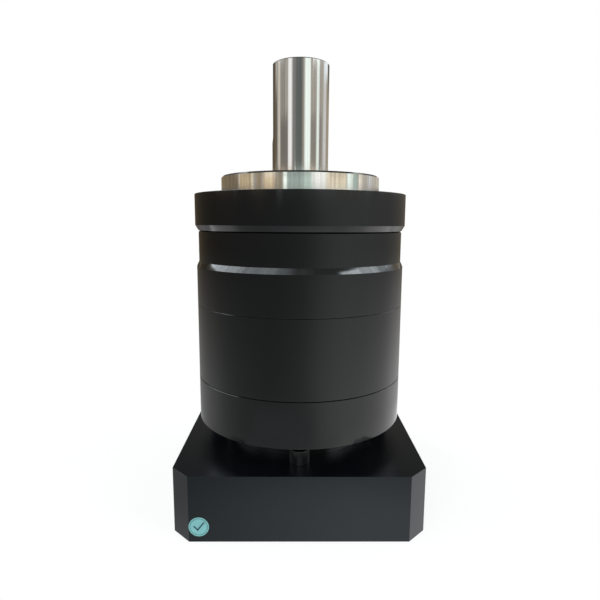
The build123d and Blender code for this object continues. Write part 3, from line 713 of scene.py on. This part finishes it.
# The room is two rings of tones, one level with the gearbox and one down towards the floor, as rows of
# azimuth, brightness and tint. It turns from one to the other between two elevations.
LEVEL_RING = (
    (-180, 0.08, AMBER), (-148, 0.09, AMBER), (-118, 0.10, WARM), (-100, 0.115, WARM), (-88, 0.145, TAN),
    (-66, 0.18, WHITE), (-45, 0.20, WHITE), (-18, 0.24, COOL), (4, 0.31, COOL), (14, 0.41, COOL),
    (26, 0.56, COOL), (38, 0.67, COOL), (52, 0.71, COOL), (72, 0.64, COOL), (88, 0.52, WHITE),
    (106, 0.36, WHITE), (128, 0.25, TAN), (152, 0.16, WARM), (180, 0.09, AMBER),
)
LOW_RING = (
    (-180, 0.22, WHITE), (-156, 0.32, WHITE), (-136, 0.44, WHITE), (-108, 0.57, WHITE), (-84, 0.47, COOL),
    (-60, 0.38, COOL), (-34, 0.32, COOL), (-12, 0.38, COOL), (2, 0.48, COOL), (18, 0.74, COOL),
    (34, 0.96, COOL), (50, 1.07, COOL), (90, 1.08, WHITE), (122, 1.10, WHITE), (140, 0.82, WHITE),
    (156, 0.52, WHITE), (180, 0.25, WHITE),
)
RING_LEVELS = (-3.0, -19.0)

# What stands in front of the room, each over those before it: azimuth and half width, softness of the sides,
# lowest and highest elevation, softness of the ends, brightness and tint. The bands are the parts of the room
# that the upright metal mirrors to the camera.
ALL_AROUND = (0, 400, 1)
PILOT_BAND = (3.7, 5.6, 0.5)
SHAFT_BAND = (5.7, 60, 0.4)
SHAFT_FOOT_BAND = (5.7, 11.4, 1.0)
STRIPS = (
    # Below the horizon: in front, then at both sides
    (-20, 34, 24, -90, -21, 3, 0.48, SKY),
    (30, 40, 30, -90, -28, 3, 0.48, COOL),
    (-108, 14, 14, -90, -28, 3, 1.00, WHITE),
    (-138, 16, 14, -90, -26.5, 3, 2.2, WHITE),
    (112, 18, 14, -90, -26.5, 3, 1.5, WHITE),
    (142, 16, 14, -90, -26.0, 3, 1.9, WHITE),
    # What the pilot ring mirrors
    (*ALL_AROUND, *PILOT_BAND, 0.56, TAN),
    (-136, 38, 4, *PILOT_BAND, 0.20, AMBER),
    (-84, 11, 3, *PILOT_BAND, 0.60, AMBER),
    (-70, 2, 3, *PILOT_BAND, 1.00, WARM),
    (-60, 4, 4, *PILOT_BAND, 0.34, AMBER),
    (-44, 9, 7, *PILOT_BAND, 0.80, AMBER),
    (-30, 6, 6, *PILOT_BAND, 0.40, WARM),
    (-21, 2.6, 1.2, *PILOT_BAND, 1.90, COOL),
    (-6.5, 11.5, 1, *PILOT_BAND, 0.64, TEAL),
    (11, 6, 2, *PILOT_BAND, 0.95, TEAL),
    (26, 10, 5, *PILOT_BAND, 1.36, WHITE),
    (51, 15, 5, *PILOT_BAND, 1.06, WARM),
    (73, 5, 3, *PILOT_BAND, 1.40, COOL),
    (83, 5, 2, *PILOT_BAND, 0.62, TEAL),
    (93, 4, 3, *PILOT_BAND, 1.10, TAN),
    (101, 4, 3, *PILOT_BAND, 0.60, TAN),
    (116, 7, 6, *PILOT_BAND, 0.82, WHITE),
    (140, 16, 8, *PILOT_BAND, 0.60, TAN),
    # What the shaft mirrors
    (*ALL_AROUND, *SHAFT_BAND, 0.50, TAN),
    (-72, 20, 8, *SHAFT_FOOT_BAND, 0.24, TAN),
    (52, 12, 8, *SHAFT_FOOT_BAND, 0.34, TAN),
    (88, 8, 4, *SHAFT_FOOT_BAND, 0.36, TAN),
    (-146, 24, 10, *SHAFT_BAND, 0.11, AMBER),
    (-116, 7, 8, 5.7, 14, 4, 0.15, WARM),
    (-96, 7, 4, *SHAFT_BAND, 0.76, TAN),
    (-76, 12, 6, 11.4, 60, 1.0, 0.38, TAN),
    (-24, 9, 10, *SHAFT_BAND, 0.31, WHITE),
    (-6, 14, 8, *SHAFT_BAND, 0.18, COOL),
    (-43, 8.5, 6, *SHAFT_BAND, 1.28, WHITE),
    (28, 12, 4, *SHAFT_BAND, 1.42, COOL),
    (74, 6, 4, *SHAFT_BAND, 1.30, COOL),
    (114, 10, 8, *SHAFT_BAND, 0.90, WHITE),
    (150, 20, 10, *SHAFT_BAND, 0.40, WARM),
    (122, 16, 8, 15.2, 19, 2, 1.3, SKY),
    # High windows, which the cone mirrors, and the dark ceiling
    (*ALL_AROUND, 19, 60, 3, 0.60, COOL),
    (36, 22, 16, 22, 60, 6, 0.40, COOL),
    (-24, 12, 18, 24, 50, 6, 1.9, SKY),
    (-54, 26, 12, 22, 50, 6, 3.1, SKY),
    (-98, 25, 16, 18, 48, 1.4, 5.0, SKY),
    (104, 52, 5, 18, 34.8, 1.2, 2.2, SKY),
    (74, 24, 8, 18, 34.8, 1.2, 5.2, SKY),
    (61, 13, 6, 18, 34.8, 1.0, 8.2, SKY),
    (180, 40, 10, 14, 60, 5, 0.10, WHITE),
    (*ALL_AROUND, 47, 90, 5, 0.05, WHITE),
)

# The white background also shows in metal that mirrors this place straight behind the gearbox, given as a
# strip's place is
BEHIND = (180, 14, 8, -90, 10, 6)

# Upright streaks in the room, strong where the bright metal mirrors it and faint below: the noise that makes
# them, its range, and two elevations with their depth at both
STREAKS = {"Scale": 0.3, "Detail": 4.0, "Roughness": 0.7}
STREAK_RANGE = (0.25, 0.75)
STREAK_DEPTH = (3.4, 4.2, 0.02, 0.5)

# Soft square lamps: name, place, side and power
LAMPS = (
    ("front_softbox", (-0.5, -1.1, 0.9), 0.9, 5.0),
    ("right_softbox", (1.0, -0.4, 0.8), 0.8, 4.0),
    ("top_softbox", (0.0, 0.3, 1.4), 1.0, 5.0),
)
LAMP_TARGET = (0.0, 0.0, 0.1)


def make_soft_strip():
    """One soft strip of the studio, laid over the tone that is already there."""
    across = ("Azimuth", "Elevation", "Middle", "Half Width", "Side Softness")
    upright = ("Lowest", "Highest", "End Softness")
    group, start, end = effect_group("soft_strip", [(label, 0.0) for label in across + upright], ())
    for label in ("Room", "Light"):
        group.interface.new_socket(name=label, in_out="INPUT", socket_type="NodeSocketColor")
    group.interface.new_socket(name="Tone", in_out="OUTPUT", socket_type="NodeSocketColor")
    given = start.outputs
    turn = math_node(group, "SUBTRACT", given["Azimuth"], given["Middle"])
    away = math_node(group, "ABSOLUTE", math_node(group, "WRAP", turn, 180.0, -180.0))
    inside_sides = math_node(group, "SUBTRACT", given["Half Width"], away)
    above = math_node(group, "SUBTRACT", given["Elevation"], given["Lowest"])
    below = math_node(group, "SUBTRACT", given["Highest"], given["Elevation"])
    inside_ends = math_node(group, "MINIMUM", above, below)
    covers = []
    for inside, softness in ((inside_sides, "Side Softness"), (inside_ends, "End Softness")):
        depth = math_node(group, "DIVIDE", inside, given[softness])
        covers.append(map_range(group, depth, -0.5, 0.5, kind="SMOOTHSTEP"))
    cover = math_node(group, "MULTIPLY", *covers)
    group.links.new(mix_colours(group, cover, given["Room"], given["Light"]), end.inputs["Tone"])
    return group


def tinted(brightness, tint):
    """A tint at a brightness, with alpha."""
    return (*[brightness * channel for channel in tint], 1.0)


def ring_of_tones(tree, azimuth, ring):
    """A colour ramp once around the object."""
    ramp = tree.nodes.new("ShaderNodeValToRGB")
    stops = ramp.color_ramp.elements
    stops.remove(stops[-1])
    for number, (turn, brightness, tint) in enumerate(ring):
        place = turn / 360 + 0.5
        stop = stops[0] if number == 0 else stops.new(place)
        stop.position = place
        stop.color = tinted(brightness, tint)
    around = math_node(tree, "ADD", math_node(tree, "DIVIDE", azimuth, 360.0), 0.5)
    tree.links.new(around, ramp.inputs["Fac"])
    return ramp.outputs["Color"]


def add_studio():
    """The world: white to the camera, the room and its soft strips to everything else."""
    world = bpy.data.worlds.new("studio")
    bpy.context.scene.world = world
    world.use_nodes = True
    tree = world.node_tree
    tree.nodes.clear()
    end = tree.nodes.new("ShaderNodeOutputWorld")
    axes = split_axes(tree, coordinates(tree, "Generated"))
    frontward = math_node(tree, "MULTIPLY", axes["Y"], -1.0)
    azimuth = math_node(tree, "DEGREES", math_node(tree, "ARCTAN2", axes["X"], frontward))
    elevation = math_node(tree, "DEGREES", math_node(tree, "ARCSINE", axes["Z"]))
    soft_strip = make_soft_strip()

    def lay_strip(below, middle, half_width, side_softness, lowest, highest, end_softness, light):
        strip = tree.nodes.new("ShaderNodeGroup")
        strip.node_tree = soft_strip
        for label, value in (
            ("Azimuth", azimuth),
            ("Elevation", elevation),
            ("Middle", middle),
            ("Half Width", half_width),
            ("Side Softness", side_softness),
            ("Lowest", lowest),
            ("Highest", highest),
            ("End Softness", end_softness),
            ("Room", below),
            ("Light", light),
        ):
            give(tree, strip.inputs[label], value)
        return strip.outputs["Tone"]

    lowness = map_range(tree, elevation, *RING_LEVELS)
    level_ring = ring_of_tones(tree, azimuth, LEVEL_RING)
    low_ring = ring_of_tones(tree, azimuth, LOW_RING)
    tone = mix_colours(tree, lowness, level_ring, low_ring)
    for *place, brightness, tint in STRIPS:
        tone = lay_strip(tone, *place, tinted(brightness, tint))
    behind = lay_strip(tinted(0.0, WHITE), *BEHIND, tinted(1.0, WHITE))
    streaks = map_range(tree, noise(tree, "1D", W=azimuth, **STREAKS), *STREAK_RANGE, -1.0, 1.0)
    depth = map_range(tree, elevation, *STREAK_DEPTH)
    unevenness = math_node(tree, "ADD", math_node(tree, "MULTIPLY", streaks, depth), 1.0)
    strips = tree.nodes.new("ShaderNodeBackground")
    tree.links.new(tone, strips.inputs["Color"])
    tree.links.new(unevenness, strips.inputs["Strength"])
    white = tree.nodes.new("ShaderNodeBackground")
    white.inputs["Color"].default_value = (*WHITE, 1.0)
    path = tree.nodes.new("ShaderNodeLightPath")
    mirrored = math_node(tree, "MAXIMUM", path.outputs["Is Glossy Ray"], path.outputs["Is Transmission Ray"])
    mirrored_behind = math_node(tree, "MULTIPLY", mirrored, behind)
    whiteness = math_node(tree, "MAXIMUM", path.outputs["Is Camera Ray"], mirrored_behind)
    tree.links.new(mix_shaders(tree, whiteness, strips.outputs[0], white.outputs[0]), end.inputs["Surface"])


def add_lamp(name, place, side, power):
    """A soft square lamp aimed at the gearbox; metal doesn't mirror it."""
    light = bpy.data.lights.new(name, "AREA")
    light.shape = "SQUARE"
    light.size = side
    light.energy = power
    lamp = bpy.data.objects.new(name, light)
    lamp.location = place
    lamp.rotation_euler = (Vector(LAMP_TARGET) - Vector(place)).to_track_quat("-Z", "Y").to_euler()
    lamp.visible_glossy = False
    bpy.context.scene.collection.objects.link(lamp)


def add_camera():
    """The camera from its place, pitch, roll and yaw."""
    level_share = cos(CAMERA_PITCH)
    right = Vector((cos(CAMERA_YAW), -sin(CAMERA_YAW), 0))
    ahead = Vector((sin(CAMERA_YAW) * level_share, cos(CAMERA_YAW) * level_share, -sin(CAMERA_PITCH)))
    up = right.cross(ahead)
    tilted_right = cos(CAMERA_ROLL) * right + sin(CAMERA_ROLL) * up
    tilted_up = cos(CAMERA_ROLL) * up - sin(CAMERA_ROLL) * right
    turned = Matrix((tilted_right, tilted_up, -ahead)).transposed().to_4x4()
    view = bpy.data.cameras.new("camera")
    view.lens = CAMERA_LENS
    view.sensor_width = CAMERA_SENSOR
    view.clip_start = CAMERA_NEAREST
    camera = bpy.data.objects.new("camera", view)
    camera.matrix_world = Matrix.Translation(CAMERA_PLACE) @ turned
    bpy.context.scene.collection.objects.link(camera)
    bpy.context.scene.camera = camera


add_studio()
for lamp_row in LAMPS:
    add_lamp(*lamp_row)
add_camera()

bpy.context.scene.view_settings.view_transform = "Standard"
